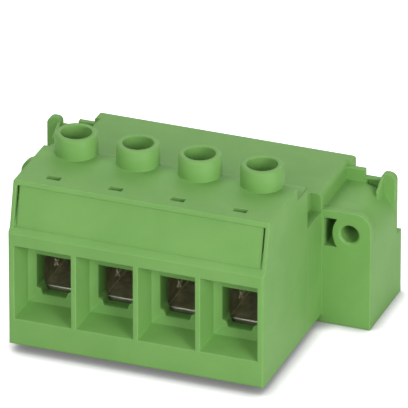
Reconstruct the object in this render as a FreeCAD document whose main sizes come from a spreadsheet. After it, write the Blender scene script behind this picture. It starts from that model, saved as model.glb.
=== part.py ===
import FreeCAD, Part
import math
import os
import re
import Sketcher

# Four-pole pluggable screw terminal: a front moulding with wire funnels and screw chimneys,
# a rear moulding with the mating shroud and two threaded flanges, and for each pole a rising
# clamp cage, its screw and a pin contact. X runs along the row of poles, Y from the wire side
# to the mating side, Z up. Sizes are in millimetres.
sizes = {
    # Row of poles
    "poleCount": 4,
    "pitch": 10.16,
    "endWall": 0.57,
    # Side outline of the front moulding, measured from its front face and from the table
    "undersideHeight": 1.32,
    "ledgeHeight": 20.4,
    "ledgeDepth": 0.9,
    "ledgeRise": 0.8,
    "bandTopDepth": 2.6,
    "pocketRoof": 2.7,
    "stepSetback": 4.5,
    "stepDrop": 2.0,
    "partingDepth": 19.5,
    # Marker band on the leaning face and the slit at each of its ends
    "bandRecess": 0.35,
    "bandRim": 0.95,
    "bandLip": 0.8,
    "slitWidth": 0.35,
    "slitDepth": 1.7,
    # Wire funnel
    "funnelWall": 0.8,
    "funnelBottom": 5.8,
    "funnelLintel": 1.96,
    "bendDepth": 3.5,
    "bendInset": 0.93,
    "bendRise": 1.65,
    "funnelDepth": 4.9,
    "throatWidth": 5.8,
    "throatBottom": 8.15,
    "throatTop": 15.0,
    "cornerWidth": 0.95,
    "cornerHeight": 1.15,
    "cornerSlope": 0.3,
    "throatWall": 1.0,
    # Clamp chamber, screw chimney and test slot
    "chamberWall": 1.96,
    "chamberGap": 0.1,
    "floorGap": 0.2,
    "rearWall": 0.8,
    "portRoof": 1.2,
    "chimneySetback": 4.83,
    "chimneyDiameter": 6.8,
    "chimneyBore": 4.9,
    "chimneyRise": 3.4,
    "topRounding": 0.25,
    "frontRounding": 0.35,
    "rimChamfer": 0.35,
    "testSlotWidth": 2.2,
    "testSlotLength": 1.2,
    "testSlotDepth": 5.16,
    "testPortRise": 1.4,
    "testPortHeight": 2.0,
    # Clamp cage
    "cageWall": 1.0,
    "cageSetback": 2.5,
    "cageFloorTop": 8.0,
    "cageFloor": 0.7,
    "cageRoof": 2.0,
    "cageRounding": 0.8,
    "cageTravel": 5.0,
    # Clamp screw
    "screwDiameter": 4.0,
    "screwRunGap": 0.05,
    "headDiameter": 6.0,
    "headHeight": 1.8,
    "headChamfer": 0.3,
    "headGap": 0.3,
    "crossWidth": 0.9,
    "crossLength": 4.4,
    "crossDepth": 1.1,
    # Contact: a bar above the wire, a web and a round pin
    "barBottom": 14.8,
    "barThickness": 1.5,
    "barSideGap": 0.3,
    "barRoofGap": 0.2,
    "webThickness": 1.5,
    "webBottom": 9.2,
    "seatGap": 0.05,
    "pinDiameter": 3.0,
    "pinRootDiameter": 3.4,
    "pinRootLead": 0.2,
    "pinHeight": 11.1,
    "pinRecess": 1.9,
    "pinTip": 0.8,
    "pinTipLength": 1.2,
    # Rear moulding
    "shroudFront": 25.9,
    "overallDepth": 40.1,
    "shroudTop": 22.2,
    "shroudEdge": 0.8,
    "shroudWall": 1.5,
    "collarReach": 0.5,
    "collarRounding": 0.5,
    "cavityFloor": 1.6,
    "cavityFrontWall": 1.0,
    "keyWidth": 1.6,
    "keyHeight": 2.2,
    "notchInset": 1.95,
    "notchDrop": 3.0,
    # Flanges
    "flangeReach": 3.52,
    "flangeTop": 19.4,
    "flangeSetback": 1.9,
    "flangeRounding": 5.2,
    "flangeWall": 1.2,
    "flangeLip": 0.3,
    "flangeLipRounding": 2.4,
    "footHeight": 10.9,
    "coreWall": 1.35,
    "windowInset": 0.4,
    "windowWidth": 2.13,
    "windowRoof": 1.05,
    "windowHeight": 4.85,
    "windowArcReach": 5.56,
    "windowDepth": 7.0,
    "bossBore": 2.9,
    "bossDrop": 3.4,
    "boreLead": 0.3,
    # Back rail and ear on each flange
    "railThickness": 0.8,
    "railHighRise": 2.1,
    "railLowRise": 0.9,
    "railStep": 2.9,
    "railBar": 0.45,
    "pitInset": 0.45,
    "pitLead": 0.3,
    "pitSkin": 0.2,
    "pitDrop": 0.9,
    "earWidth": 2.3,
    "earThickness": 1.2,
    "earRise": 2.2,
    "earOuterRounding": 1.1,
    "earInnerRounding": 0.8,
    "gussetThickness": 0.5,
    "gussetReach": 2.4,
    "gussetDrop": 0.6,
    # Threaded insert in each flange
    "insertDiameter": 4.2,
    "insertLength": 6.0,
    "insertBore": 2.5,
    "insertChamfer": 0.3,
    "pressGap": 0.02,
}

# Sizes that follow from the ones above. Each may use those before it.
derived = {
    "blockHalf": "poleCount * pitch / 2 + endWall",
    "firstPole": "-(poleCount - 1) * pitch / 2",
    "funnelWidth": "pitch - funnelWall",
    "funnelTop": "ledgeHeight - funnelLintel",
    "cageWidth": "pitch - chamberWall - 2 * chamberGap",
    "cageFront": "funnelDepth + throatWall + cageSetback",
    "cageLength": "partingDepth - rearWall - chamberGap - cageFront",
    "cageBottom": "cageFloorTop - cageFloor",
    "barWidth": "cageWidth - 2 * cageWall - 2 * barSideGap",
    "barTop": "barBottom + barThickness",
    "roofBottom": "barTop + barRoofGap",
    "cageTop": "roofBottom + cageRoof",
    "headBottom": "cageTop + cageTravel + floorGap",
    "pocketTop": "headBottom + headHeight + headGap",
    "topHeight": "pocketTop + pocketRoof",
    "topDepth": "partingDepth - stepSetback",
    "stepHeight": "topHeight - stepDrop",
    "rimHeight": "topHeight + chimneyRise",
    "chimneyDepth": "partingDepth - chimneySetback",
    "cavityFront": "shroudFront + cavityFrontWall",
    "notchHeight": "shroudTop - notchDrop",
    "flangeRear": "overallDepth - flangeSetback",
    "flangeBore": "(poleCount + 1) * pitch / 2",
    "flangeSide": "flangeBore + flangeReach",
    "lipBack": "shroudFront + flangeWall",
    "bossHeight": "flangeTop - bossDrop",
    "windowTop": "flangeTop - windowRoof",
    "insertFront": "flangeRear - insertLength",
    "railHigh": "flangeTop + railHighRise",
    "railLow": "flangeTop + railLowRise",
    "earHeight": "flangeTop + earRise",
    "earInner": "flangeSide - earWidth",
}

doc = FreeCAD.newDocument("PluggableTerminal")
sheet = doc.addObject("Spreadsheet::Sheet", "Sizes")
rows = list(sizes.items()) + [(name, "=" + formula) for name, formula in derived.items()]
for row, (name, content) in enumerate(rows, start=1):
    sheet.set("A%d" % row, name)
    sheet.set("B%d" % row, str(content))
    sheet.setAlias("B%d" % row, name)
doc.recompute()


def on_sheet(formula):
    return re.sub(r"[A-Za-z]+", lambda word: "Sizes." + word.group(0), formula)


def bind(thing, prop, formula):
    thing.setExpression(prop, on_sheet(formula))


# A body keeps the row's own coordinates, and its placement moves the front face forward by
# half the depth, so that the origin lies below the middle of the whole part.
def new_body(label, across="0", rise="0"):
    body = doc.addObject("PartDesign::Body", label)
    body.Label = label
    bind(body, "Placement.Base.x", across)
    bind(body, "Placement.Base.y", "-overallDepth / 2")
    bind(body, "Placement.Base.z", rise)
    return body


def origin_item(body, role):
    return [item for item in body.Origin.OriginFeatures if item.Role == role][0]


def flat_sketch(body, name, role, offset):
    sketch = body.newObject("Sketcher::SketchObject", name)
    sketch.AttachmentSupport = (origin_item(body, role), [""])
    sketch.MapMode = "FlatFace"
    bind(sketch, "AttachmentOffset.Base.z", offset)
    return sketch


# Seen from the wire side: across is X and up is Z.
def front_sketch(body, name, depth):
    return flat_sketch(body, name, "XZ_Plane", "-(" + depth + ")")


# Seen from the +X side: across is Y and up is Z.
def side_sketch(body, name, across):
    return flat_sketch(body, name, "YZ_Plane", across)


# Seen from above: across is X and up is Y.
def top_sketch(body, name, height):
    return flat_sketch(body, name, "XY_Plane", height)


def pin_point(sketch, edge, end, across, up):
    for kind, formula in (("DistanceX", across), ("DistanceY", up)):
        number = sketch.addConstraint(Sketcher.Constraint(kind, -1, 1, edge, end, 1.0))
        bind(sketch, "Constraints[%d]" % number, formula)


def pin_across(sketch, edge, end, across):
    number = sketch.addConstraint(Sketcher.Constraint("DistanceX", -1, 1, edge, end, 1.0))
    bind(sketch, "Constraints[%d]" % number, across)


def outline(sketch, corners):
    first = sketch.GeometryCount
    count = len(corners)
    spread = [2 * math.pi * place / count for place in range(count)]
    rough = [FreeCAD.Vector(math.cos(turn), math.sin(turn), 0) * 10 for turn in spread]
    for place in range(count):
        line = Part.LineSegment(rough[place], rough[(place + 1) % count])
        sketch.addGeometry(line, False)
    for place in range(count):
        follower = first + (place + 1) % count
        sketch.addConstraint(Sketcher.Constraint("Coincident", first + place, 2, follower, 1))
    for place, (across, up) in enumerate(corners):
        pin_point(sketch, first + place, 1, across, up)
    return sketch


def rectangle(sketch, left, right, bottom, top):
    return outline(sketch, [(left, bottom), (right, bottom), (right, top), (left, top)])


# A rectangle whose upper right corner is one quarter arc.
def rounded_block(sketch, left, right, bottom, top, radius):
    rough = [(0, 0), (10, 0), (10, 8), (8, 10), (0, 10)]
    spots = [FreeCAD.Vector(across, up, 0) for across, up in rough]
    for start, end in ((0, 1), (1, 2), (3, 4), (4, 0)):
        sketch.addGeometry(Part.LineSegment(spots[start], spots[end]), False)
    ring = Part.Circle(FreeCAD.Vector(8, 8, 0), FreeCAD.Vector(0, 0, 1), 2)
    sketch.addGeometry(Part.ArcOfCircle(ring, 0, math.pi / 2), False)
    for edge, end, other, start in ((0, 2, 1, 1), (1, 2, 4, 1), (4, 2, 2, 1), (2, 2, 3, 1), (3, 2, 0, 1)):
        sketch.addConstraint(Sketcher.Constraint("Coincident", edge, end, other, start))
    pin_point(sketch, 0, 1, left, bottom)
    pin_point(sketch, 1, 1, right, bottom)
    pin_point(sketch, 1, 2, right, top + " - " + radius)
    pin_point(sketch, 2, 1, right + " - " + radius, top)
    pin_point(sketch, 3, 1, left, top)
    pin_across(sketch, 4, 3, right + " - " + radius)
    return sketch


# A rectangle whose right side bulges inwards as an arc, as a boss beside a window leaves it.
def arched_block(sketch, left, right, bottom, top, centre):
    spots = [FreeCAD.Vector(across, up, 0) for across, up in ((0, 0), (10, 0), (10, 20), (0, 20))]
    for start, end in ((3, 0), (0, 1), (2, 3)):
        sketch.addGeometry(Part.LineSegment(spots[start], spots[end]), False)
    ring = Part.Circle(FreeCAD.Vector(25, 10, 0), FreeCAD.Vector(0, 0, 1), math.hypot(15, 10))
    lean = math.atan2(10, 15)
    sketch.addGeometry(Part.ArcOfCircle(ring, math.pi - lean, math.pi + lean), False)
    for edge, end, other, start in ((0, 2, 1, 1), (1, 2, 3, 2), (3, 1, 2, 1), (2, 2, 0, 1)):
        sketch.addConstraint(Sketcher.Constraint("Coincident", edge, end, other, start))
    pin_point(sketch, 0, 1, left, top)
    pin_point(sketch, 0, 2, left, bottom)
    pin_point(sketch, 1, 2, right, bottom)
    pin_point(sketch, 2, 1, right, top)
    pin_across(sketch, 3, 3, centre)
    return sketch


def circle(sketch, across, up, diameter):
    number = sketch.GeometryCount
    sketch.addGeometry(Part.Circle(FreeCAD.Vector(1, 1, 0), FreeCAD.Vector(0, 0, 1), 1), False)
    pin_point(sketch, number, 3, across, up)
    size = sketch.addConstraint(Sketcher.Constraint("Diameter", number, 2.0))
    bind(sketch, "Constraints[%d]" % size, diameter)
    return sketch


def extrude(body, kind, name, sketch, length, reverse):
    feature = body.newObject(kind, name)
    feature.Profile = sketch
    feature.Reversed = reverse
    bind(feature, "Length", length)
    sketch.Visibility = False
    return feature


# A front sketch's normal points to the wire side, so material and cuts that run towards the
# mating side turn the pad round and leave the pocket as it is.
def pad_back(body, name, sketch, length):
    return extrude(body, "PartDesign::Pad", name, sketch, length, True)


def cut_back(body, name, sketch, length):
    return extrude(body, "PartDesign::Pocket", name, sketch, length, False)


def pad_along(body, name, sketch, length):
    return extrude(body, "PartDesign::Pad", name, sketch, length, False)


def cut_along(body, name, sketch, length):
    return extrude(body, "PartDesign::Pocket", name, sketch, length, True)


def cut_against(body, name, sketch, length):
    return extrude(body, "PartDesign::Pocket", name, sketch, length, False)


def repeat_for_poles(body, name, features):
    pattern = body.newObject("PartDesign::LinearPattern", name)
    pattern.Originals = features
    pattern.Direction = (origin_item(body, "X_Axis"), [""])
    bind(pattern, "Length", "pitch * (poleCount - 1)")
    bind(pattern, "Occurrences", "poleCount")
    body.Tip = pattern
    return pattern


def mirror_sides(body, name, features):
    mirror = body.newObject("PartDesign::Mirrored", name)
    mirror.Originals = features
    mirror.MirrorPlane = (origin_item(body, "YZ_Plane"), [""])
    body.Tip = mirror
    return mirror


# Dresses the edges of a body's last feature that a test picks by their middle point.
def dress(body, kind, name, prop, formula, wanted):
    doc.recompute()
    base = body.Tip
    found = []
    for number, edge in enumerate(base.Shape.Edges, start=1):
        if wanted(edge, edge.CenterOfMass):
            found.append("Edge%d" % number)
    if not found:
        raise ValueError("no edge for " + name)
    feature = body.newObject(kind, name)
    feature.Base = (base, found)
    bind(feature, prop, formula)
    body.Tip = feature
    return feature


def value(name):
    return sheet.get(name)


def near(first, second):
    return abs(first - second) < 0.02


def along_y(edge):
    ends = [vertex.Point for vertex in edge.Vertexes]
    return len(ends) == 2 and near(ends[0].x, ends[1].x) and near(ends[0].z, ends[1].z)


def ring_at(edge, radius):
    return isinstance(edge.Curve, Part.Circle) and near(edge.Curve.Radius, radius)


def make_terminal_housing():
    body = new_body("terminal_housing")
    side = side_sketch(body, "SideOutline", "-blockHalf")
    outline(side, [
        ("0", "undersideHeight"),
        ("0", "ledgeHeight"),
        ("ledgeDepth", "ledgeHeight + ledgeRise"),
        ("bandTopDepth", "topHeight"),
        ("topDepth", "topHeight"),
        ("topDepth", "stepHeight"),
        ("partingDepth", "stepHeight"),
        ("partingDepth", "undersideHeight"),
    ])
    pad_along(body, "Block", side, "2 * blockHalf")
    add_block_edges(body)
    add_marker_band(body)
    add_chimneys(body)
    add_pole_cavities(body)
    round_chimneys(body)
    return body


# The long top corners of the block are softly rounded, and so are the corners of its front.
def add_block_edges(body):
    half = value("blockHalf")

    def top_corner(edge, middle):
        upper = near(middle.z, value("topHeight")) or near(middle.z, value("stepHeight"))
        return along_y(edge) and upper and near(abs(middle.x), half)

    def front_corner(edge, middle):
        upright = near(abs(middle.x), half) and near(middle.y, 0)
        foot = near(middle.y, 0) and near(middle.z, value("undersideHeight"))
        return upright or foot

    dress(body, "PartDesign::Fillet", "FrontEdges", "Radius", "frontRounding", front_corner)
    dress(body, "PartDesign::Fillet", "BlockEdges", "Radius", "topRounding", top_corner)


# The leaning face above the ledge is a shallow field between a top lip and two end rims. Its
# floor runs parallel to the face, and a slit that deepens upwards parts it from each rim.
def add_marker_band(body):
    lean = "(bandTopDepth - ledgeDepth) / (topHeight - ledgeHeight - ledgeRise)"
    foot = "ledgeHeight + ledgeRise"
    field_top = "(topHeight - bandLip)"
    face_at_top = "(bandTopDepth - bandLip * " + lean + ")"
    field = side_sketch(body, "BandSketch", "-blockHalf + bandRim")
    outline(field, [
        ("ledgeDepth - 1", foot),
        ("ledgeDepth + bandRecess", foot),
        (face_at_top + " + bandRecess", field_top),
        (face_at_top + " - 1", field_top),
    ])
    cut_along(body, "BandField", field, "2 * blockHalf - 2 * bandRim")
    slit = side_sketch(body, "SlitSketch", "blockHalf - bandRim")
    outline(slit, [
        ("ledgeDepth - 1", foot),
        ("ledgeDepth + bandRecess", foot),
        (face_at_top + " + slitDepth", field_top),
        (face_at_top + " - 1", field_top),
    ])
    cut = cut_along(body, "Slit", slit, "slitWidth")
    mirror_sides(body, "Slits", [cut])


def add_chimneys(body):
    ring = top_sketch(body, "ChimneySketch", "pocketTop")
    circle(ring, "firstPole", "chimneyDepth", "chimneyDiameter")
    chimney = pad_along(body, "Chimney", ring, "rimHeight - pocketTop")
    repeat_for_poles(body, "Chimneys", [chimney])


# One pole: the funnel narrows to the throat, behind it lies the cage's chamber, and above the
# chamber the screw head's pocket opens into the chimney.
def add_pole_cavities(body):
    left = "firstPole - "
    right = "firstPole + "
    funnel = add_funnel(body)
    corner_top = "throatBottom + cornerHeight"
    throat_sketch = front_sketch(body, "ThroatSketch", "funnelDepth - 0.1")
    outline(throat_sketch, [
        (left + "throatWidth / 2 + cornerWidth", "throatBottom"),
        (right + "throatWidth / 2 - cornerWidth", "throatBottom"),
        (right + "throatWidth / 2 - cornerWidth + cornerSlope", corner_top + " - cornerSlope"),
        (right + "throatWidth / 2", corner_top),
        (right + "throatWidth / 2", "throatTop"),
        (left + "throatWidth / 2", "throatTop"),
        (left + "throatWidth / 2", corner_top),
        (left + "throatWidth / 2 + cornerWidth - cornerSlope", corner_top + " - cornerSlope"),
    ])
    throat = cut_back(body, "Throat", throat_sketch, "throatWall + 0.2")
    chamber_sketch = front_sketch(body, "ChamberSketch", "funnelDepth + throatWall")
    room = "cageWidth / 2 + chamberGap"
    room_left = left + "(" + room + ")"
    room_right = right + room
    room_floor = "cageBottom - floorGap"
    rectangle(chamber_sketch, room_left, room_right, room_floor, "headBottom")
    chamber = cut_back(body, "Chamber", chamber_sketch, "partingDepth - rearWall - funnelDepth - throatWall")
    port_sketch = front_sketch(body, "PortSketch", "partingDepth - rearWall - 0.5")
    rectangle(port_sketch, room_left, room_right, room_floor, "shroudTop - portRoof")
    port = cut_back(body, "RearPort", port_sketch, "rearWall + 1")
    pocket_sketch = top_sketch(body, "HeadPocketSketch", "pocketTop")
    circle(pocket_sketch, "firstPole", "chimneyDepth", "headDiameter + 2 * headGap")
    pocket = cut_against(body, "HeadPocket", pocket_sketch, "pocketTop - headBottom + 0.5")
    bore_sketch = top_sketch(body, "AccessSketch", "rimHeight")
    circle(bore_sketch, "firstPole", "chimneyDepth", "chimneyBore")
    bore = cut_against(body, "AccessBore", bore_sketch, "rimHeight - pocketTop + 0.5")
    slot_sketch = top_sketch(body, "TestSlotSketch", "topHeight")
    slot_front = "testSlotDepth - testSlotLength / 2"
    slot_back = "testSlotDepth + testSlotLength / 2"
    rectangle(slot_sketch, left + "testSlotWidth / 2", right + "testSlotWidth / 2", slot_front, slot_back)
    slot_foot = "throatTop + testPortRise"
    slot = cut_against(body, "TestSlot", slot_sketch, "topHeight - (" + slot_foot + ")")
    link_sketch = front_sketch(body, "TestPortSketch", "testSlotDepth")
    link_top = slot_foot + " + testPortHeight"
    rectangle(link_sketch, left + "testSlotWidth / 2", right + "testSlotWidth / 2", slot_foot, link_top)
    link = cut_back(body, "TestPort", link_sketch, "funnelDepth + throatWall - testSlotDepth + 0.3")
    repeat_for_poles(body, "PoleCavities", [funnel, throat, chamber, port, pocket, bore, slot, link])


# The mouth's sides close in slowly while its floor climbs. Behind the bend all four sides slope
# steeply to the throat.
def add_funnel(body):
    left = "firstPole - "
    right = "firstPole + "
    mouth = front_sketch(body, "FunnelMouth", "0")
    rectangle(mouth, left + "funnelWidth / 2", right + "funnelWidth / 2", "funnelBottom", "funnelTop")
    bend = front_sketch(body, "FunnelBend", "bendDepth")
    bend_half = "(funnelWidth / 2 - bendInset)"
    rectangle(bend, left + bend_half, right + bend_half, "funnelBottom + bendRise", "funnelTop")
    end = front_sketch(body, "FunnelEnd", "funnelDepth")
    rectangle(end, left + "throatWidth / 2", right + "throatWidth / 2", "throatBottom", "throatTop")
    funnel = body.newObject("PartDesign::SubtractiveLoft", "Funnel")
    funnel.Profile = mouth
    funnel.Sections = [bend, end]
    funnel.Ruled = True
    return funnel


def round_chimneys(body):
    def outer_rim(edge, middle):
        return ring_at(edge, value("chimneyDiameter") / 2) and near(middle.z, value("rimHeight"))

    dress(body, "PartDesign::Chamfer", "RimOutside", "Size", "rimChamfer", outer_rim)


def make_plug_shroud():
    body = new_body("plug_shroud")
    side = side_sketch(body, "SideOutline", "-blockHalf")
    outline(side, [
        ("partingDepth", "undersideHeight"),
        ("shroudFront", "undersideHeight"),
        ("shroudFront", "0"),
        ("overallDepth", "0"),
        ("overallDepth", "shroudTop"),
        ("partingDepth", "shroudTop"),
    ])
    pad_along(body, "Shroud", side, "2 * blockHalf")
    notch = front_sketch(body, "NotchSketch", "partingDepth - 1")
    rectangle(notch, "blockHalf - notchInset", "blockHalf + 1", "notchHeight", "shroudTop + 1")
    cut = cut_back(body, "Notch", notch, "shroudFront - partingDepth + 1")
    mirror_sides(body, "Notches", [cut])
    round_shroud(body)
    add_rear_collar(body)
    add_flanges(body)
    add_mating_cavity(body)
    add_contact_seats(body)
    return body


def round_shroud(body):
    def top_corner(edge, middle):
        upper = near(middle.z, value("shroudTop"))
        return along_y(edge) and upper and near(abs(middle.x), value("blockHalf"))

    dress(body, "PartDesign::Fillet", "ShroudEdges", "Radius", "shroudEdge", top_corner)


# The shroud ends in a slightly wider collar behind the flanges.
def add_rear_collar(body):
    side = "(blockHalf + collarReach)"
    collar_sketch = front_sketch(body, "CollarSketch", "flangeRear")
    rectangle(collar_sketch, "-" + side, side, "0", "shroudTop")
    pad_back(body, "RearCollar", collar_sketch, "overallDepth - flangeRear")

    def top_corner(edge, middle):
        half = value("blockHalf") + value("collarReach")
        return along_y(edge) and near(middle.z, value("shroudTop")) and near(abs(middle.x), half)

    dress(body, "PartDesign::Fillet", "CollarEdges", "Radius", "collarRounding", top_corner)


# Each flange is a hollow ear block beside the shroud: a front lip, a rounded body behind it, a
# deeper foot, a stepped rail along the back and an upright ear with a gusset at the outer corner.
def add_flanges(body):
    root = "blockHalf - shroudWall"
    lip_sketch = front_sketch(body, "LipSketch", "shroudFront")
    rounded_block(lip_sketch, root, "flangeSide", "0", "flangeTop + flangeLip", "flangeLipRounding")
    lip = pad_back(body, "FlangeLip", lip_sketch, "flangeWall")
    core_sketch = front_sketch(body, "FlangeSketch", "lipBack")
    rounded_block(core_sketch, root, "flangeSide", "0", "flangeTop", "flangeRounding")
    core = pad_back(body, "FlangeBody", core_sketch, "flangeRear - lipBack")
    foot_sketch = front_sketch(body, "FootSketch", "lipBack")
    rectangle(foot_sketch, root, "flangeSide", "0", "footHeight")
    foot = pad_back(body, "FlangeFoot", foot_sketch, "overallDepth - lipBack")
    mirror_sides(body, "Flanges", [lip, core, foot])
    rail_sketch = front_sketch(body, "RailSketch", "flangeRear - railThickness")
    outline(rail_sketch, [
        (root, "flangeTop - 1"),
        ("earInner + 0.5", "flangeTop - 1"),
        ("earInner + 0.5", "railLow"),
        ("blockHalf + railStep", "railLow"),
        ("blockHalf + railStep", "railHigh"),
        (root, "railHigh"),
    ])
    rail = pad_back(body, "BackRail", rail_sketch, "railThickness")
    pit_sketch = front_sketch(body, "PitSketch", "flangeRear - railThickness - pitLead")
    pit_left = "blockHalf + railStep + pitInset"
    rectangle(pit_sketch, pit_left, "earInner", "flangeTop - pitDrop", "railLow - railBar")
    pit = cut_back(body, "RailPit", pit_sketch, "railThickness + pitLead - pitSkin")
    ear_front = "flangeRear - earThickness"
    ear_foot = "flangeTop - flangeRounding"
    ear_sketch = front_sketch(body, "EarSketch", ear_front)
    rectangle(ear_sketch, "earInner", "flangeSide", ear_foot, "earHeight")
    ear = pad_back(body, "Ear", ear_sketch, "earThickness")
    gusset_sketch = side_sketch(body, "GussetSketch", "earInner")
    outline(gusset_sketch, [
        (ear_front + " - gussetReach", ear_foot),
        (ear_front + " + earThickness / 2", ear_foot),
        (ear_front + " + earThickness / 2", "earHeight - gussetDrop"),
        (ear_front, "earHeight - gussetDrop"),
        (ear_front + " - gussetReach", "flangeTop"),
    ])
    gusset = pad_along(body, "Gusset", gusset_sketch, "gussetThickness")
    mirror_sides(body, "RailsAndEars", [rail, pit, ear, gusset])
    round_ears(body)
    add_flange_openings(body)


def round_ears(body):
    side = value("flangeSide")

    def outer_corner(edge, middle):
        return along_y(edge) and near(abs(middle.x), side) and near(middle.z, value("earHeight"))

    def inner_corner(edge, middle):
        inner = value("earInner")
        return along_y(edge) and near(abs(middle.x), inner) and near(middle.z, value("earHeight"))

    dress(body, "PartDesign::Fillet", "EarOutside", "Radius", "earOuterRounding", outer_corner)
    dress(body, "PartDesign::Fillet", "EarInside", "Radius", "earInnerRounding", inner_corner)


# The window beside the bore's boss, the bore, the seat of the threaded insert and the core that
# hollows the flange's foot from the mating side.
def add_flange_openings(body):
    window_sketch = front_sketch(body, "WindowSketch", "shroudFront")
    window_left = "blockHalf + windowInset"
    window_right = window_left + " + windowWidth"
    arched_block(window_sketch, window_left, window_right, "windowTop - windowHeight", "windowTop",
                 window_left + " + windowArcReach")
    window = cut_back(body, "Window", window_sketch, "windowDepth")
    bore_sketch = front_sketch(body, "BossBoreSketch", "shroudFront")
    circle(bore_sketch, "flangeBore", "bossHeight", "bossBore")
    bore = cut_back(body, "BossBore", bore_sketch, "insertFront - shroudFront + 0.1")
    seat_sketch = front_sketch(body, "InsertSeatSketch", "insertFront")
    circle(seat_sketch, "flangeBore", "bossHeight", "insertDiameter + 2 * pressGap")
    seat = cut_back(body, "InsertSeat", seat_sketch, "insertLength + 1")
    core_sketch = front_sketch(body, "CoreSketch", "lipBack")
    core_top = "footHeight - coreWall"
    rectangle(core_sketch, "blockHalf", "flangeSide - coreWall", "coreWall", core_top)
    core = cut_back(body, "FootCore", core_sketch, "overallDepth - shroudFront")
    mirror_sides(body, "FlangeOpenings", [window, bore, seat, core])

    def bore_mouth(edge, middle):
        return ring_at(edge, value("bossBore") / 2) and near(middle.y, value("shroudFront"))

    dress(body, "PartDesign::Chamfer", "BoreLead", "Size", "boreLead", bore_mouth)


# The mating cavity, with a key rib on its floor and ceiling between neighbouring poles.
def add_mating_cavity(body):
    cavity_sketch = front_sketch(body, "CavitySketch", "cavityFront")
    half = "blockHalf - shroudWall"
    rectangle(cavity_sketch, "-(" + half + ")", half, "cavityFloor", "shroudTop - cavityFloor")
    cut_back(body, "MatingCavity", cavity_sketch, "overallDepth - shroudFront")
    key_sketch = front_sketch(body, "KeySketch", "cavityFront")
    middle = "firstPole + pitch / 2"
    key_left = middle + " - keyWidth / 2"
    key_right = middle + " + keyWidth / 2"
    rectangle(key_sketch, key_left, key_right, "cavityFloor - 0.5", "cavityFloor + keyHeight")
    ceiling = "shroudTop - cavityFloor"
    rectangle(key_sketch, key_left, key_right, ceiling + " - keyHeight", ceiling + " + 0.5")
    key = pad_back(body, "Keys", key_sketch, "overallDepth - cavityFront")
    pattern = body.newObject("PartDesign::LinearPattern", "KeyRow")
    pattern.Originals = [key]
    pattern.Direction = (origin_item(body, "X_Axis"), [""])
    bind(pattern, "Length", "pitch * (poleCount - 2)")
    bind(pattern, "Occurrences", "poleCount - 1")
    body.Tip = pattern


def add_contact_seats(body):
    left = "firstPole - "
    right = "firstPole + "
    half = "(barWidth / 2 + seatGap)"
    web_sketch = front_sketch(body, "WebSeatSketch", "partingDepth")
    web_top = "barTop + seatGap"
    rectangle(web_sketch, left + half, right + half, "webBottom - seatGap", web_top)
    web = cut_back(body, "WebSeat", web_sketch, "webThickness")
    pin_sketch = front_sketch(body, "PinHoleSketch", "partingDepth")
    circle(pin_sketch, "firstPole", "pinHeight", "pinRootDiameter + 2 * seatGap")
    pin = cut_back(body, "PinHole", pin_sketch, "cavityFront - partingDepth + 1")
    repeat_for_poles(body, "ContactSeats", [web, pin])


def pole_centre(number):
    return "(%d - (poleCount - 1) / 2) * pitch" % (number - 1)


# The cage is a rectangular sleeve round the contact bar, open to the wire. Its roof holds the
# screw's thread.
def make_clamp_cage(number):
    body = new_body("clamp_cage_%d" % number, pole_centre(number))
    ring = front_sketch(body, "SleeveSketch", "cageFront")
    rectangle(ring, "-cageWidth / 2", "cageWidth / 2", "cageBottom", "cageTop")
    inner = "(cageWidth / 2 - cageWall)"
    rectangle(ring, "-" + inner, inner, "cageFloorTop", "roofBottom")
    pad_back(body, "Sleeve", ring, "cageLength")
    half = value("cageWidth") / 2

    def outer_corner(edge, middle):
        return along_y(edge) and near(abs(middle.x), half)

    dress(body, "PartDesign::Fillet", "OuterCorners", "Radius", "cageRounding", outer_corner)
    hole = top_sketch(body, "ThreadSketch", "cageTop")
    circle(hole, "0", "chimneyDepth", "screwDiameter + 2 * screwRunGap")
    cut_against(body, "ThreadHole", hole, "cageRoof")
    return body


# The screw stands on the contact bar and its head is captive under the chimney.
def make_clamp_screw(number):
    body = new_body("clamp_screw_%d" % number, pole_centre(number))
    bind(body, "Placement.Base.y", "chimneyDepth - overallDepth / 2")
    profile = front_sketch(body, "ScrewProfile", "0")
    head_top = "headBottom + headHeight"
    outline(profile, [
        ("0", "barTop"),
        ("screwDiameter / 2", "barTop"),
        ("screwDiameter / 2", "headBottom"),
        ("headDiameter / 2", "headBottom"),
        ("headDiameter / 2", head_top + " - headChamfer"),
        ("headDiameter / 2 - headChamfer", head_top),
        ("0", head_top),
    ])
    turned = body.newObject("PartDesign::Revolution", "Turned")
    turned.Profile = profile
    turned.ReferenceAxis = (profile, ["V_Axis"])
    turned.Angle = 360
    cross = top_sketch(body, "CrossSketch", head_top)
    long_half = "crossLength / 2"
    thin_half = "crossWidth / 2"
    outline(cross, [
        ("-" + long_half, "-" + thin_half), ("-" + thin_half, "-" + thin_half),
        ("-" + thin_half, "-" + long_half), (thin_half, "-" + long_half),
        (thin_half, "-" + thin_half), (long_half, "-" + thin_half),
        (long_half, thin_half), (thin_half, thin_half),
        (thin_half, long_half), ("-" + thin_half, long_half),
        ("-" + thin_half, thin_half), ("-" + long_half, thin_half),
    ])
    cut_against(body, "CrossRecess", cross, "crossDepth")
    return body


def make_contact(number):
    body = new_body("contact_%d" % number, pole_centre(number))
    side = side_sketch(body, "BarSketch", "-barWidth / 2")
    web_back = "partingDepth + webThickness"
    outline(side, [
        ("cageFront", "barBottom"),
        ("partingDepth", "barBottom"),
        ("partingDepth", "webBottom"),
        (web_back, "webBottom"),
        (web_back, "barTop"),
        ("cageFront", "barTop"),
    ])
    pad_along(body, "BarAndWeb", side, "barWidth")
    add_pin(body, web_back)
    return body


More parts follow.
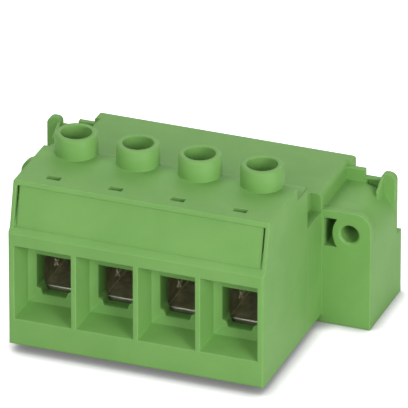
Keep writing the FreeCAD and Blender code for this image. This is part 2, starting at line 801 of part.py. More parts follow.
# The pin is turned: a root that fills the hole in the shroud's wall, a short cone and the free
# length with its tapered tip.
def add_pin(body, web_back):
    profile = side_sketch(body, "PinSketch", "0")
    root = "pinHeight + pinRootDiameter / 2"
    free = "pinHeight + pinDiameter / 2"
    tip = "overallDepth - pinRecess"
    outline(profile, [
        (web_back + " - 0.5", "pinHeight"),
        (web_back + " - 0.5", root),
        ("cavityFront", root),
        ("cavityFront + pinRootLead", free),
        (tip + " - pinTipLength", free),
        (tip, free + " - pinTip"),
        (tip, "pinHeight"),
    ])
    turned = body.newObject("PartDesign::Revolution", "Pin")
    turned.Profile = profile
    turned.ReferenceAxis = (profile, ["Edge7"])
    turned.Angle = 360


def make_flange_insert(label, side):
    body = new_body(label, side + "flangeBore", "bossHeight")
    ring = front_sketch(body, "InsertSketch", "insertFront")
    circle(ring, "0", "0", "insertDiameter")
    circle(ring, "0", "0", "insertBore")
    pad_back(body, "Insert", ring, "insertLength")

    def bore_mouth(edge, middle):
        return ring_at(edge, value("insertBore") / 2) and near(middle.y, value("flangeRear"))

    dress(body, "PartDesign::Chamfer", "ThreadLead", "Size", "insertChamfer", bore_mouth)
    return body


def build_all():
    bodies = [make_terminal_housing(), make_plug_shroud()]
    for number in range(1, value("poleCount") + 1):
        bodies.append(make_contact(number))
        bodies.append(make_clamp_cage(number))
        bodies.append(make_clamp_screw(number))
    bodies.append(make_flange_insert("flange_insert_left", "-"))
    bodies.append(make_flange_insert("flange_insert_right", ""))
    doc.recompute()
    return bodies


def check_document():
    for item in doc.Objects:
        if "Invalid" in item.State or "Error" in item.State:
            raise RuntimeError("%s failed: %s" % (item.Name, item.State))
        cutting = item.TypeId in ("PartDesign::Pocket", "PartDesign::SubtractiveLoft")
        if cutting and item.Shape.Volume >= item.BaseFeature.Shape.Volume - 1e-6:
            raise RuntimeError(item.Name + " removes nothing")


def write_parts(bodies):
    os.makedirs("parts", exist_ok=True)
    for body in bodies:
        shape = body.Shape
        if shape.isNull() or not shape.isValid() or len(shape.Solids) != 1:
            raise RuntimeError(body.Label + " is not one valid solid")
    for body in bodies:
        body.Shape.exportStep("parts/" + body.Label + ".step")
        print("%-22s %9.2f mm3" % (body.Label, body.Shape.Volume))


parts = build_all()
check_document()
write_parts(parts)
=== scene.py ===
import math

import bmesh
import bpy
import numpy as np
from mathutils import Matrix, Vector


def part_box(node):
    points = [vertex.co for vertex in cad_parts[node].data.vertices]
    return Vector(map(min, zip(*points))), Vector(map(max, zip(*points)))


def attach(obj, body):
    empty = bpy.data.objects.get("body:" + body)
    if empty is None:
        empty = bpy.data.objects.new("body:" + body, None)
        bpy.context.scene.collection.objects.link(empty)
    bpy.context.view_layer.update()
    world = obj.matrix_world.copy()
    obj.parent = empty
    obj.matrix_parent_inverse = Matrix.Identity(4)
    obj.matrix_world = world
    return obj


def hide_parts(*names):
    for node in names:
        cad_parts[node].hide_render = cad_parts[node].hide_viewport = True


# Four-pole pluggable screw terminal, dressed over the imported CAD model. Lengths are in metres.
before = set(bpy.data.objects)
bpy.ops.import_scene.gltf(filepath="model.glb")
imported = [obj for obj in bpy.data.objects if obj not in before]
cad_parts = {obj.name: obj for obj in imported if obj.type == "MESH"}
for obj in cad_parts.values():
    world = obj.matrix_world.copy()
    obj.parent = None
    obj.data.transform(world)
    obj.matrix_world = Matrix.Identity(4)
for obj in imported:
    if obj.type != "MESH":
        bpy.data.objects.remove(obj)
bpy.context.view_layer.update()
mm = 0.001
mergeDistance = 0.0002 * mm     # points closer than this are one
poleNumbers = range(1, 5)
scene = bpy.context.scene
scene.view_settings.view_transform = "Standard"
print("frame loaded,", len(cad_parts), "nodes")


def paint(hexCode):
    # sRGB hex to linear RGBA, with the sRGB standard's own numbers
    parts = [int(hexCode[place:place + 2], 16) / 255 for place in (1, 3, 5)]
    return [part / 12.92 if part <= 0.04045 else ((part + 0.055) / 1.055) ** 2.4
            for part in parts] + [1.0]


white = paint("#FFFFFF")
firstColour, secondColour, mixedColour = 6, 7, 2    # sockets of a Mix node that mixes colours


def addNode(tree, kind, settings=None, links=None):
    # adds one node; a setting is a property of the node or the default of one of its inputs
    node = tree.nodes.new(kind)
    for key, amount in (settings or {}).items():
        if isinstance(key, str) and hasattr(node, key):
            setattr(node, key, amount)
        else:
            node.inputs[key].default_value = amount
    for key, source in (links or {}).items():
        tree.links.new(source, node.inputs[key])
    return node


def newMaterial(name):
    material = bpy.data.materials.new(name)
    material.use_nodes = True
    material.node_tree.nodes.clear()
    return material, material.node_tree


def finishMaterial(tree, shader):
    addNode(tree, "ShaderNodeOutputMaterial", links={"Surface": shader})


def directView(tree):
    # 1 where the camera sees a thing itself or in a shiny or clear surface, 0 for the light that
    # the thing sends to matt ones
    ray = addNode(tree, "ShaderNodeLightPath")
    shiny = addNode(tree, "ShaderNodeMath", {"operation": "MAXIMUM"},
                    {0: ray.outputs["Is Camera Ray"], 1: ray.outputs["Is Glossy Ray"]})
    clear = addNode(tree, "ShaderNodeMath", {"operation": "MAXIMUM"},
                    {0: shiny.outputs[0], 1: ray.outputs["Is Transmission Ray"]})
    return clear.outputs[0]


def weldMesh(mesh, closedShell):
    # merges the points that fall together; a closed shell then has its faces turned outward
    shell = bmesh.new()
    shell.from_mesh(mesh)
    bmesh.ops.remove_doubles(shell, verts=shell.verts, dist=mergeDistance)
    if closedShell:
        bmesh.ops.recalc_face_normals(shell, faces=shell.faces)
    shell.to_mesh(mesh)
    shell.free()


def meshPiece(name, rows, columns, points, material, body, smooth=True):
    # a closed shell from a grid of rows x columns points, joined round along the columns; where
    # two rings or two points of the grid fall together they become one
    around = np.arange(columns)
    onward = (around + 1) % columns
    starts = (np.arange(rows - 1) * columns)[:, None]
    quads = np.stack([starts + around, starts + onward,
                      starts + columns + onward, starts + columns + around], axis=-1)
    quads = quads.reshape(-1, 4)
    mesh = bpy.data.meshes.new(name)
    mesh.vertices.add(len(points))
    mesh.vertices.foreach_set("co", points.astype(np.float32).ravel())
    mesh.loops.add(quads.size)
    mesh.loops.foreach_set("vertex_index", quads.astype(np.int32).ravel())
    mesh.polygons.add(len(quads))
    mesh.polygons.foreach_set("loop_start", np.arange(len(quads), dtype=np.int32) * 4)
    mesh.update(calc_edges=True)
    weldMesh(mesh, closedShell=True)
    mesh.polygons.foreach_set("use_smooth", np.full(len(mesh.polygons), smooth))
    mesh.validate()
    mesh.materials.append(material)
    piece = bpy.data.objects.new(name, mesh)
    scene.collection.objects.link(piece)
    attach(piece, body)
    return piece


cameraView = {
    "azimuth": 20.5813,         # degrees from the wire side towards +X
    "elevation": 27.3263,
    "roll": 0.029,
    "distance": 1503.279 * mm,
    "aim": (0.0, -2.05 * mm, 12.0 * mm),
    "across": -4.1858 * mm,     # how far the aim stands from the picture's middle
    "rise": -7.6327 * mm,
    "focalLength": 858.78,      # this and the sensor's width in millimetres
    "sensorWidth": 36,
    "nearest": 0.1,
    "farthest": 20,
}


def awayFrom(turn, lift):
    # the direction that stands at an azimuth and an elevation, both in radians
    return Vector((math.sin(turn) * math.cos(lift), -math.cos(turn) * math.cos(lift),
                   math.sin(lift)))


def makeCamera(view):
    turn, lift, roll = (math.radians(view[key]) for key in ("azimuth", "elevation", "roll"))
    level = Vector((math.cos(turn), math.sin(turn), 0))
    back = awayFrom(turn, lift)
    above = back.cross(level)
    right = level * math.cos(roll) + above * math.sin(roll)
    upward = above * math.cos(roll) - level * math.sin(roll)
    place = (Vector(view["aim"]) + back * view["distance"]
             - right * view["across"] - upward * view["rise"])
    lens = bpy.data.cameras.new("photoCamera")
    lens.lens = view["focalLength"]
    lens.sensor_width = view["sensorWidth"]
    lens.clip_start = view["nearest"]
    lens.clip_end = view["farthest"]
    camera = bpy.data.objects.new("photoCamera", lens)
    axes = Matrix((right, upward, back)).transposed().to_4x4()
    camera.matrix_world = Matrix.Translation(place) @ axes
    scene.collection.objects.link(camera)
    scene.camera = camera


lightSet = {
    "worldStrength": 0.08,      # what the surroundings give to matt surfaces
    "seenStrength": 1.0,        # what the camera and shiny surfaces see of them: plain white
    "aimHeight": 14 * mm,
    "lamps": [
        # name, azimuth and elevation in degrees, distance, disk's width, watts
        ("keyLamp", 57, 18, 0.60, 0.30, 2.12),
        ("frontLamp", 5, 28, 0.60, 0.30, 1.22),
        ("leftLamp", -90, 60, 0.60, 0.40, 1.20),
        ("rearLamp", 180, 38, 0.60, 0.50, 0.80),
    ],
}


def makeLights(light):
    middle = Vector((0, 0, light["aimHeight"]))
    for name, turn, lift, distance, width, watts in light["lamps"]:
        lamp = bpy.data.lights.new(name, "AREA")
        lamp.shape = "DISK"
        lamp.size = width
        lamp.energy = watts
        away = awayFrom(math.radians(turn), math.radians(lift))
        holder = bpy.data.objects.new(name, lamp)
        holder.location = middle + away * distance
        holder.rotation_euler = away.to_track_quat("Z", "Y").to_euler()
        scene.collection.objects.link(holder)
    world = bpy.data.worlds.new("paleStudio")
    world.use_nodes = True
    tree = world.node_tree
    tree.nodes.clear()
    dim = addNode(tree, "ShaderNodeBackground",
                  {"Color": white, "Strength": light["worldStrength"]})
    seen = addNode(tree, "ShaderNodeBackground",
                   {"Color": white, "Strength": light["seenStrength"]})
    mix = addNode(tree, "ShaderNodeMixShader",
                  links={0: directView(tree), 1: dim.outputs[0], 2: seen.outputs[0]})
    addNode(tree, "ShaderNodeOutputWorld", links={"Surface": mix.outputs[0]})
    scene.world = world


floorLook = {
    "paper": "#DCDCDC",
    "reach": 2.0,               # half the side of the square sheet
    "drop": 0.02 * mm,          # below the object, so that no face lies in the sheet's plane
    "fibreScale": 900.0,        # fibres of about 1 mm
    "fibreDetail": 3.0,
    "fibreBump": 0.03,
    "fibreDepth": 0.05 * mm,
    "openGlow": 0.90,           # added for the camera where the sheet lies open
    "contactGlow": 0.16,        # and where the object stands on it
    "contactReach": 3.4 * mm,   # how far from the object the sheet is dimmed
    "contactRange": (0.42, 0.97),   # openness at which the sheet is darkest and undimmed
    "contactSamples": 8,
}


def makeFloor(look):
    # matt white paper: even and without gloss; near the object an occlusion test darkens its
    # colour and dims its glow, a painted contact shadow added to the lamps' own shadows
    reach = look["reach"]
    corners = [(-reach, -reach, 0), (reach, -reach, 0), (reach, reach, 0), (-reach, reach, 0)]
    mesh = bpy.data.meshes.new("studioFloor")
    mesh.from_pydata(corners, [], [(0, 1, 2, 3)])
    material, tree = newMaterial("matt paper floor")
    spot = addNode(tree, "ShaderNodeTexCoord").outputs["Object"]
    fibre = addNode(tree, "ShaderNodeTexNoise",
                    {"Scale": look["fibreScale"], "Detail": look["fibreDetail"]},
                    {"Vector": spot})
    bump = addNode(tree, "ShaderNodeBump",
                   {"Strength": look["fibreBump"], "Distance": look["fibreDepth"]},
                   {"Height": fibre.outputs[0]})
    # painted contact shadow: the paper's colour and its glow fall off near the object
    contactShade = addNode(tree, "ShaderNodeAmbientOcclusion",
                       {"samples": look["contactSamples"], "Color": paint(look["paper"]),
                        "Distance": look["contactReach"]})
    paper = addNode(tree, "ShaderNodeBsdfDiffuse",
                    links={"Color": contactShade.outputs["Color"], "Normal": bump.outputs[0]})
    shaded, clear = look["contactRange"]
    dimming = addNode(tree, "ShaderNodeMapRange",
                      {"From Min": shaded, "From Max": clear,
                       "To Min": look["contactGlow"], "To Max": look["openGlow"]},
                      {"Value": contactShade.outputs["AO"]})
    glow = addNode(tree, "ShaderNodeEmission", {"Color": white},
                   {"Strength": dimming.outputs[0]})
    lit = addNode(tree, "ShaderNodeAddShader", links={0: paper.outputs[0], 1: glow.outputs[0]})
    mix = addNode(tree, "ShaderNodeMixShader",
                  links={0: directView(tree), 1: paper.outputs[0], 2: lit.outputs[0]})
    finishMaterial(tree, mix.outputs[0])
    mesh.materials.append(material)
    floor = bpy.data.objects.new("studioFloor", mesh)
    floor.location = (0, 0, -look["drop"])
    scene.collection.objects.link(floor)


makeCamera(cameraView)
makeLights(lightSet)
makeFloor(floorLook)
print("camera, lights and floor made")

# both mouldings
polyamideLook = {
    "colour": "#78AA59",
    "deepColour": "#71A453",
    # the edge colour is a painted highlight on the open edges, not a colour of the plastic
    "edgeHighlightColour": "#94C575",
    "ior": 1.45,
    "roughness": 0.60,
    "roughnessSpread": (-0.04, 0.05),
    "edgeRadius": 0.28 * mm,
    "rimRadius": 0.50 * mm,         # the chimneys' rims are rounder than the other edges
    "rimLevel": 31.0 * mm,
    "rimFade": 0.1 * mm,
    "edgeTurn": (0.995, 0.80),      # cosines of the turn at which the pale edge starts, is full
    "edgeOpen": (0.70, 0.92),       # inner corners, which are less open than this, stay plain
    "openReach": 1.0 * mm,
    "openSamples": 4,
    "edgeSamples": 6,
    "edgeHighlightShare": 0.75,
    "grainSize": 0.16 * mm,         # an eroded mould gives about 0.05 mm, drawn coarser to show
    "grainRange": (0.3, 0.7),
    "grainBump": 0.35,
    "grainDepth": 0.010 * mm,
    "flowSize": 9.0 * mm,
    "flowDetail": 4.0,
    "flowRoughness": 0.55,
    "flowDistortion": 0.6,
    "flowRange": (0.35, 0.65),
}


def mouldedPolyamide(look):
    # polyamide 66, injection moulded against an eroded steel wall: even satin with a fine grain,
    # faint cloudy flow, edges shaded round by a bevel, and a painted highlight of paler green on
    # the open edges
    material, tree = newMaterial("polyamide 66, injection moulded")
    spot = addNode(tree, "ShaderNodeTexCoord").outputs["Object"]
    flow = addNode(tree, "ShaderNodeTexNoise",
                   {"Scale": 1 / look["flowSize"], "Detail": look["flowDetail"],
                    "Roughness": look["flowRoughness"], "Distortion": look["flowDistortion"]},
                   {"Vector": spot})
    least, most = look["flowRange"]
    cloud = addNode(tree, "ShaderNodeMapRange", {"From Min": least, "From Max": most},
                    {"Value": flow.outputs[0]})
    skin = addNode(tree, "ShaderNodeMix",
                   {"data_type": "RGBA", firstColour: paint(look["deepColour"]),
                    secondColour: paint(look["colour"])},
                   {0: cloud.outputs[0]})

    # the rounding that the light sees, wider on the rims of the chimneys
    height = addNode(tree, "ShaderNodeSeparateXYZ", links={0: spot}).outputs["Z"]
    softness = addNode(tree, "ShaderNodeMapRange",
                       {"From Min": look["rimLevel"] - look["rimFade"],
                        "From Max": look["rimLevel"],
                        "To Min": look["edgeRadius"], "To Max": look["rimRadius"]},
                       {"Value": height})
    rounded = addNode(tree, "ShaderNodeBevel", {"samples": look["edgeSamples"]},
                      {"Radius": softness.outputs[0]})

    # painted highlight: a paler colour where the rounding turns away from the face, and only on
    # open corners
    shape = addNode(tree, "ShaderNodeNewGeometry")
    flatness = addNode(tree, "ShaderNodeVectorMath", {"operation": "DOT_PRODUCT"},
                       {0: rounded.outputs[0], 1: shape.outputs["Normal"]})
    openness = addNode(tree, "ShaderNodeAmbientOcclusion",
                       {"samples": look["openSamples"], "Distance": look["openReach"],
                        "only_local": True})
    least, most = look["edgeOpen"]
    openEdgeHighlight = addNode(tree, "ShaderNodeMapRange",
                   {"From Min": least, "From Max": most, "To Max": look["edgeHighlightShare"]},
                   {"Value": openness.outputs["AO"]})
    begin, full = look["edgeTurn"]
    edge = addNode(tree, "ShaderNodeMapRange", {"From Min": begin, "From Max": full},
                   {"Value": flatness.outputs["Value"], "To Max": openEdgeHighlight.outputs[0]})
    coloured = addNode(tree, "ShaderNodeMix",
                       {"data_type": "RGBA", secondColour: paint(look["edgeHighlightColour"])},
                       {0: edge.outputs[0], firstColour: skin.outputs[mixedColour]})

    grain = addNode(tree, "ShaderNodeTexNoise", {"Scale": 1 / look["grainSize"]},
                    {"Vector": spot})
    least, most = look["grainRange"]
    smoother, rougher = look["roughnessSpread"]
    satin = addNode(tree, "ShaderNodeMapRange",
                    {"From Min": least, "From Max": most,
                     "To Min": look["roughness"] + smoother,
                     "To Max": look["roughness"] + rougher},
                    {"Value": grain.outputs[0]})
    bump = addNode(tree, "ShaderNodeBump",
                   {"Strength": look["grainBump"], "Distance": look["grainDepth"]},
                   {"Height": grain.outputs[0], "Normal": rounded.outputs[0]})
    shader = addNode(tree, "ShaderNodeBsdfPrincipled", {"IOR": look["ior"]},
                     {"Base Color": coloured.outputs[mixedColour],
                      "Roughness": satin.outputs[0], "Normal": bump.outputs[0]})
    finishMaterial(tree, shader.outputs[0])
    return material


# The real drawn and turned lines are about 0.02 mm wide: each lineSize is coarser, to show.
# "along" scales the pattern on each axis: below 1 draws lines out along that axis, and above 1
# sets them closer together on it.
metalLook = {
    # a pale warm plating, with a painted highlight along its edges
    "cage": {
        "name": "spring steel, stamped and nickel plated",
        "light": "#D2CFB0", "dark": "#A8A585", "metallic": 0.80, "roughness": 0.34,
        "edgeRadius": 0.34 * mm, "edgeHighlightStrength": 1.0,
        "lineSize": 0.09 * mm, "along": (0.12, 1.0, 1.0),
    },
    # nearly white, a painted glint on the stamped strokes rather than the steel's own colour
    "stroke": {
        "name": "spring steel, painted glint of the stamp",
        "light": "#FFF8E0", "dark": "#F0E6C8", "metallic": 0.1, "roughness": 0.30,
        "edgeRadius": 0.05 * mm, "edgeHighlightStrength": 0.3,
        "lineSize": 0.06 * mm, "along": (1.0, 1.0, 1.0),
    },
    # a cool even grey
    "screw": {
        "name": "steel, cold headed and zinc plated",
        "light": "#C3C5C6", "dark": "#A1A4A8", "metallic": 1.0, "roughness": 0.30,
        "edgeRadius": 0.10 * mm, "edgeHighlightStrength": 0.4,
        "lineSize": 0.11 * mm, "along": (1.0, 1.0, 0.3),
    },
    # a soft warm white with lines along the pins
    "contact": {
        "name": "copper alloy, stamped and tin plated",
        "light": "#CFCBC2", "dark": "#B1ADA3", "metallic": 1.0, "roughness": 0.28,
        "edgeRadius": 0.10 * mm, "edgeHighlightStrength": 0.4,
        "lineSize": 0.14 * mm, "along": (1.0, 0.1, 1.0),
    },
    # clear yellow with the tool's fine rings
    "brass": {
        "name": "free-cutting brass, turned",
        "light": "#D8B765", "dark": "#B9924A", "metallic": 1.0, "roughness": 0.24,
        "edgeRadius": 0.10 * mm, "edgeHighlightStrength": 0.4,
        "lineSize": 0.08 * mm, "along": (1.0, 4.0, 1.0),
    },
}

metalFinish = {
    # the near-white colour of the painted highlight on the metal edges
    "edgeHighlightColour": "#FFFFF7",
    "edgeSamples": 4,
    "edgeTurn": (0.99, 0.80),       # cosines of the turn at which the edge starts, is full
    "roughnessSpread": (-0.07, 0.10),
    "noiseRoughness": 0.6,
    "lineDetail": 3.0,
    "lineRange": (0.3, 0.7),
    "lineBump": 0.30,
    "lineDepth": 0.006 * mm,
    "patchSize": 1.8 * mm,
    "patchDetail": 5.0,
    "patchRange": (0.35, 0.68),
}


def drawnMetal(look, finish):
    # metal with fine drawn or turned lines: the noise is stretched along the lines, the plating
    # varies a little from light to dark, and its edges get a painted near-white highlight
    material, tree = newMaterial(look["name"])
    spot = addNode(tree, "ShaderNodeTexCoord").outputs["Object"]
    scaled = addNode(tree, "ShaderNodeMapping", {"Scale": look["along"]}, {"Vector": spot})
    lines = addNode(tree, "ShaderNodeTexNoise",
                    {"Scale": 1 / look["lineSize"], "Detail": finish["lineDetail"],
                     "Roughness": finish["noiseRoughness"]},
                    {"Vector": scaled.outputs[0]})
    patches = addNode(tree, "ShaderNodeTexNoise",
                      {"Scale": 1 / finish["patchSize"], "Detail": finish["patchDetail"],
                       "Roughness": finish["noiseRoughness"]},
                      {"Vector": spot})
    least, most = finish["patchRange"]
    shade = addNode(tree, "ShaderNodeMapRange", {"From Min": least, "From Max": most},
                    {"Value": patches.outputs[0]})
    tone = addNode(tree, "ShaderNodeMix",
                   {"data_type": "RGBA", firstColour: paint(look["dark"]),
                    secondColour: paint(look["light"])},
                   {0: shade.outputs[0]})
    least, most = finish["lineRange"]
    smoother, rougher = finish["roughnessSpread"]
    gloss = addNode(tree, "ShaderNodeMapRange",
                    {"From Min": least, "From Max": most,
                     "To Min": look["roughness"] + smoother,
                     "To Max": look["roughness"] + rougher},
                    {"Value": lines.outputs[0]})

    # painted highlight on the edges: near-white where the rounding turns away from the face
    rounded = addNode(tree, "ShaderNodeBevel",
                      {"samples": finish["edgeSamples"], "Radius": look["edgeRadius"]})
    shape = addNode(tree, "ShaderNodeNewGeometry")
    flatness = addNode(tree, "ShaderNodeVectorMath", {"operation": "DOT_PRODUCT"},
                       {0: rounded.outputs[0], 1: shape.outputs["Normal"]})
    begin, full = finish["edgeTurn"]
    edge = addNode(tree, "ShaderNodeMapRange",
                   {"From Min": begin, "From Max": full, "To Max": look["edgeHighlightStrength"]},
                   {"Value": flatness.outputs["Value"]})
    shown = addNode(tree, "ShaderNodeMix",
                    {"data_type": "RGBA", secondColour: paint(finish["edgeHighlightColour"])},
                    {0: edge.outputs[0], firstColour: tone.outputs[mixedColour]})
    bump = addNode(tree, "ShaderNodeBump",
                   {"Strength": finish["lineBump"], "Distance": finish["lineDepth"]},
                   {"Height": lines.outputs[0], "Normal": rounded.outputs[0]})
    shader = addNode(tree, "ShaderNodeBsdfPrincipled", {"Metallic": look["metallic"]},
                     {"Base Color": shown.outputs[mixedColour],
                      "Roughness": gloss.outputs[0], "Normal": bump.outputs[0]})
    finishMaterial(tree, shader.outputs[0])
    return material


housingPlastic = mouldedPolyamide(polyamideLook)
metals = {part: drawnMetal(look, metalFinish) for part, look in metalLook.items()}

nodeFinish = {
    "terminal_housing": housingPlastic,
    "plug_shroud": housingPlastic,
    "clamp_cage": metals["cage"],
    "clamp_screw": metals["screw"],
    "contact": metals["contact"],
    "flange_insert": metals["brass"],
}

for node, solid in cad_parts.items():
    material = next(nodeFinish[start] for start in nodeFinish if node.startswith(start))
    solid.data.materials.clear()
    solid.data.materials.append(material)
print("materials made")

# the bushes in the flanges, with the thread that the solids leave plain
bushSize = {
    "wall": 0.85 * mm,          # from the bush's outside to the thread's crests
    "threadPitch": 0.5 * mm,
    "threadDepth": 0.24 * mm,
    "threadFade": 0.4 * mm,     # length over which the thread grows out of the leads
    "leadLength": 0.30 * mm,
    "chamfer": 0.2 * mm,
    "grooveDepth": 0.15 * mm,
    "grooveHalf": 0.4 * mm,     # half the groove's length, without the slopes at its ends
    "grooveSlope": 0.1 * mm,
    "turnSteps": 96,
    "boreSteps": 144,
}


def threadedBush(side, size):
    # one closed profile carried round the bore's axis: the bore's radius is the smallest radius
    # plus a triangle wave of the distance along the axis less one pitch for each turn
    lowest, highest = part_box("flange_insert_" + side)
    centreX, centreZ = (lowest.x + highest.x) / 2, (lowest.z + highest.z) / 2
    outer = (highest.x - lowest.x) / 2
    bore = outer - size["wall"]
    front, rear = lowest.y, highest.y
    lead, chamfer = size["leadLength"], size["chamfer"]
    along = np.linspace(rear - lead, front + lead, size["boreSteps"])
    angle = np.linspace(0, 2 * np.pi, size["turnSteps"], endpoint=False)
    phase = along[:, None] / size["threadPitch"] - angle[None, :] / (2 * np.pi)
    wave = np.abs(2 * (phase - np.floor(phase)) - 1)
    toLead = np.minimum(along - front - lead, rear - lead - along)
    fade = np.clip(toLead / size["threadFade"], 0, 1)[:, None]
    boreRadius = bore + size["threadDepth"] * wave * fade
    middle = (front + rear) / 2
    grooveHalf, grooveEnd = size["grooveHalf"], size["grooveHalf"] + size["grooveSlope"]
    grooved = outer - size["grooveDepth"]
    outline = np.array([
        (front, bore + lead), (front, outer - chamfer), (front + chamfer, outer),
        (middle - grooveEnd, outer), (middle - grooveHalf, grooved),
        (middle + grooveHalf, grooved), (middle + grooveEnd, outer),
        (rear - chamfer, outer), (rear, outer - chamfer), (rear, bore + lead),
    ])
    outside = np.repeat(outline[:, 1:], len(angle), axis=1)
    radius = np.vstack([boreRadius, outside, boreRadius[:1]])
    depth = np.concatenate([along, outline[:, 0], along[:1]])
    points = np.stack([
        centreX + radius * np.cos(angle)[None, :],
        np.repeat(depth[:, None], len(angle), axis=1),
        centreZ + radius * np.sin(angle)[None, :],
    ], axis=-1).reshape(-1, 3)
    bush = meshPiece("threadedBush_" + side, len(depth), len(angle), points,
                     metals["brass"], "housing", smooth=False)
    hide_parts("flange_insert_" + side)


for side in ("left", "right"):
    threadedBush(side, bushSize)
print("threaded bushes made")

# the front moulding, with the crease of its funnels a little further in than in the solid
creaseSize = {
    "depth": (3.5 * mm, 4.0 * mm),     # each pair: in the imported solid, and as shown here
    "inset": (0.93 * mm, 0.73 * mm),
    "rise": (1.65 * mm, 1.32 * mm),
    "mouthHalf": 4.68 * mm,            # half the funnel's width at its mouth
    "mouthBottom": 5.80 * mm,
    "mouthTop": 18.44 * mm,
    "throatDepth": 4.9 * mm,
    "throatHalf": 2.90 * mm,
    "throatBottom": 8.15 * mm,
    "throatTop": 15.0 * mm,
    "slack": 0.02 * mm,                # a point this close to a wall belongs to it
    "sharpAngle": 11.0,                # degrees between two faces
}


def creasedHousing(size):
    # a copy of the housing whose funnel walls are stretched: a weight rises from 0 at the mouth to
    # 1 at the crease and falls to 0 at the throat, and each point of a wall goes deeper, outward
    # and, towards the floor, downward by that weight times the change of the crease
    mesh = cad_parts["terminal_housing"].data.copy()
    mesh.name = "creasedHousing"
    points = np.empty(len(mesh.vertices) * 3, dtype=np.float32)
    mesh.vertices.foreach_get("co", points)
    points = points.reshape(-1, 3).astype(float)
    depth = points[:, 1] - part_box("terminal_housing")[0].y
    oldDepth, newDepth = size["depth"]
    oldInset, newInset = size["inset"]
    oldRise, newRise = size["rise"]
    last, slack = size["throatDepth"], size["slack"]
    first = depth <= oldDepth
    weight = np.where(first, depth / oldDepth, (last - depth) / (last - oldDepth))
    weight = np.clip(weight, 0, 1)

    def between(mouth, crease, throat):
        # straight from the mouth to the crease and straight on to the throat
        return np.where(first, mouth + (crease - mouth) * weight,
                        throat + (crease - throat) * weight)

    half = between(size["mouthHalf"], size["mouthHalf"] - oldInset, size["throatHalf"])
    low = between(size["mouthBottom"], size["mouthBottom"] + oldRise, size["throatBottom"])
    high = between(size["mouthTop"], size["mouthTop"], size["throatTop"])
    share = np.clip((high - points[:, 2]) / (high - low), 0, 1)
    wider = weight * (oldInset - newInset) / half
    deeper = between(0, newDepth, last) - between(0, oldDepth, last)
    lower = weight * (oldRise - newRise) * share
    inFunnel = ((depth > 0) & (depth < last)
                & (points[:, 2] > low - slack) & (points[:, 2] < high + slack))
    for number in poleNumbers:
        lowest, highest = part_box("clamp_cage_%d" % number)
        aside = points[:, 0] - (lowest.x + highest.x) / 2
        moved = inFunnel & (np.abs(aside) < half + slack)
        change = np.column_stack([wider * aside, deeper, -lower])
        points = points + np.where(moved[:, None], change, 0)
    mesh.vertices.foreach_set("co", points.astype(np.float32).ravel())
    weldMesh(mesh, closedShell=False)
    mesh.polygons.foreach_set("use_smooth", np.full(len(mesh.polygons), True))
    mesh.set_sharp_from_angle(angle=math.radians(size["sharpAngle"]))
    piece = bpy.data.objects.new("creasedHousing", mesh)
    scene.collection.objects.link(piece)
    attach(piece, "housing")
    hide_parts("terminal_housing")


creasedHousing(creaseSize)
print("creased housing made")

# the sleeve that leads a wire from each throat into its cage
collarSize = {
    "halfWidth": 2.88 * mm,     # the housing's throat, a hair inside its walls
    "bottom": 8.17 * mm,
    "top": 14.98 * mm,
    "cornerWidth": 0.95 * mm,
    "cornerHeight": 1.15 * mm,
    "cornerSlope": 0.30 * mm,
    "wall": 0.45 * mm,
    "floorDrop": 0.25 * mm,     # the collar's floor falls a little towards the cage
    "start": 3.45 * mm,         # this and both ends are measured forward from the cage's front
    "floorEnd": 1.20 * mm,
    "sideEnd": 0.30 * mm,
}


def guideCollar(number, size):
    # the throat's outline carried straight back from the funnel, its floor ending before its
    # sides, and then forward again along a parallel outline one wall further out
    lowest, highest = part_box("clamp_cage_%d" % number)
    half, low, high = size["halfWidth"], size["bottom"], size["top"]
    inset, rise, slope = size["cornerWidth"], size["cornerHeight"], size["cornerSlope"]
    middle = (low + high) / 2
    rightHalf = np.array([
        (0.0, low), (half - inset, low), (half - inset + slope, low + rise - slope),
        (half, low + rise), (half, middle), (half, high), (0.0, high),
    ])
    leftHalf = rightHalf[-2:0:-1] * (-1, 1)
    throat = np.vstack([rightHalf, leftHalf])
    # rounded, so that a point level with the middle isn't shifted up or down
    outside = throat + size["wall"] * np.sign(np.round(throat - (0.0, middle), decimals=7))
    onFloor = throat[:, 1] < low + rise - slope / 2
    front = np.full(len(throat), lowest.y - size["start"])
    rear = lowest.y - np.where(onFloor, size["floorEnd"], size["sideEnd"])
    drop = np.outer(onFloor, (0, -size["floorDrop"]))
    rings = [(throat, front), (throat + drop, rear), (outside + drop, rear), (outside, front),
             (throat, front)]
    centreX = (lowest.x + highest.x) / 2
    points = np.vstack([np.column_stack([centreX + ring[:, 0], depth, ring[:, 1]])
                        for ring, depth in rings])
    meshPiece("guideCollar_%d" % number, len(rings), len(throat), points,
              housingPlastic, "housing", smooth=False)


for number in poleNumbers:
    guideCollar(number, collarSize)
print("guide collars made")

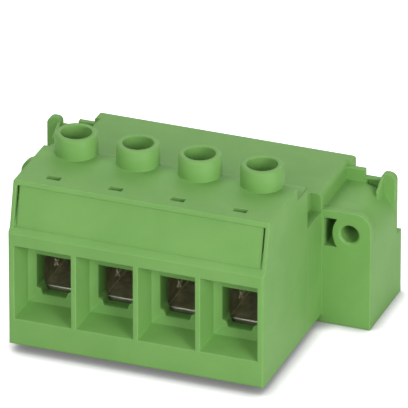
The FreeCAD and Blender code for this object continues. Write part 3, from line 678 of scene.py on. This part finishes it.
# the crosses that the punch leaves on the inner sides of each cage
crossSize = {
    "wall": 1.0 * mm,           # thickness of the sleeve's side
    "floor": 0.7 * mm,
    "behindFront": 5.2 * mm,    # where the two strokes cross
    "aboveFloor": 1.3 * mm,
    "patch": (3.0 * mm, 2.4 * mm),
    "strokeLength": 2.3 * mm,
    "strokeWidth": 0.40 * mm,
    "strokeHeight": 0.20 * mm,
    "strokeFade": 0.25 * mm,
    "leans": (4.0, -55.0),      # degrees from the sleeve's length
    "steps": (61, 49),
    "sunk": 0.01 * mm,          # how far the flat around the strokes lies inside the wall
    "backDepth": 0.04 * mm,
}


def stampedCross(number, side, size):
    # a height over a flat upright grid: each stroke is a ridge that falls off with the squared
    # distance from its line and fades at its ends, and the higher of the two ridges is kept; a
    # flat back inside the sleeve's wall closes it
    lowest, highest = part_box("clamp_cage_%d" % number)
    inner = (highest.x - size["wall"]) if side == "right" else (lowest.x + size["wall"])
    inward = -1 if side == "right" else 1
    width, tall = size["patch"]
    alongSteps, riseSteps = size["steps"]
    depth, rise = np.meshgrid(np.linspace(-width / 2, width / 2, alongSteps),
                              np.linspace(-tall / 2, tall / 2, riseSteps), indexing="ij")
    height = np.zeros_like(depth)
    for lean in np.radians(size["leans"]):
        onward = depth * np.cos(lean) + rise * np.sin(lean)
        aside = rise * np.cos(lean) - depth * np.sin(lean)
        crest = np.clip(1 - (2 * aside / size["strokeWidth"]) ** 2, 0, 1)
        toEnd = size["strokeLength"] / 2 - np.abs(onward)
        fade = np.clip(toEnd / size["strokeFade"], 0, 1)
        height = np.maximum(height, crest * fade)
    height = height * size["strokeHeight"] - size["sunk"]
    back = np.full_like(height, -size["backDepth"])
    back[[0, -1]] = height[[0, -1]]
    # each row of the grid goes up the face and down the back again
    height = np.hstack([height, back[:, ::-1]])
    depth, rise = (np.hstack([values, values[:, ::-1]]) for values in (depth, rise))
    centreY = lowest.y + size["behindFront"]
    centreZ = lowest.z + size["floor"] + size["aboveFloor"]
    points = np.stack([inner + inward * height, centreY + depth, centreZ + rise], axis=-1)
    name = "stampedCross_%d_%s" % (number, side)
    # the strokes take the nearly white stroke finish, a painted glint
    meshPiece(name, alongSteps, 2 * riseSteps, points.reshape(-1, 3),
              metals["stroke"], "cage_%d" % number)


for number in poleNumbers:
    for side in ("left", "right"):
        stampedCross(number, side, crossSize)
print("stamped crosses made")
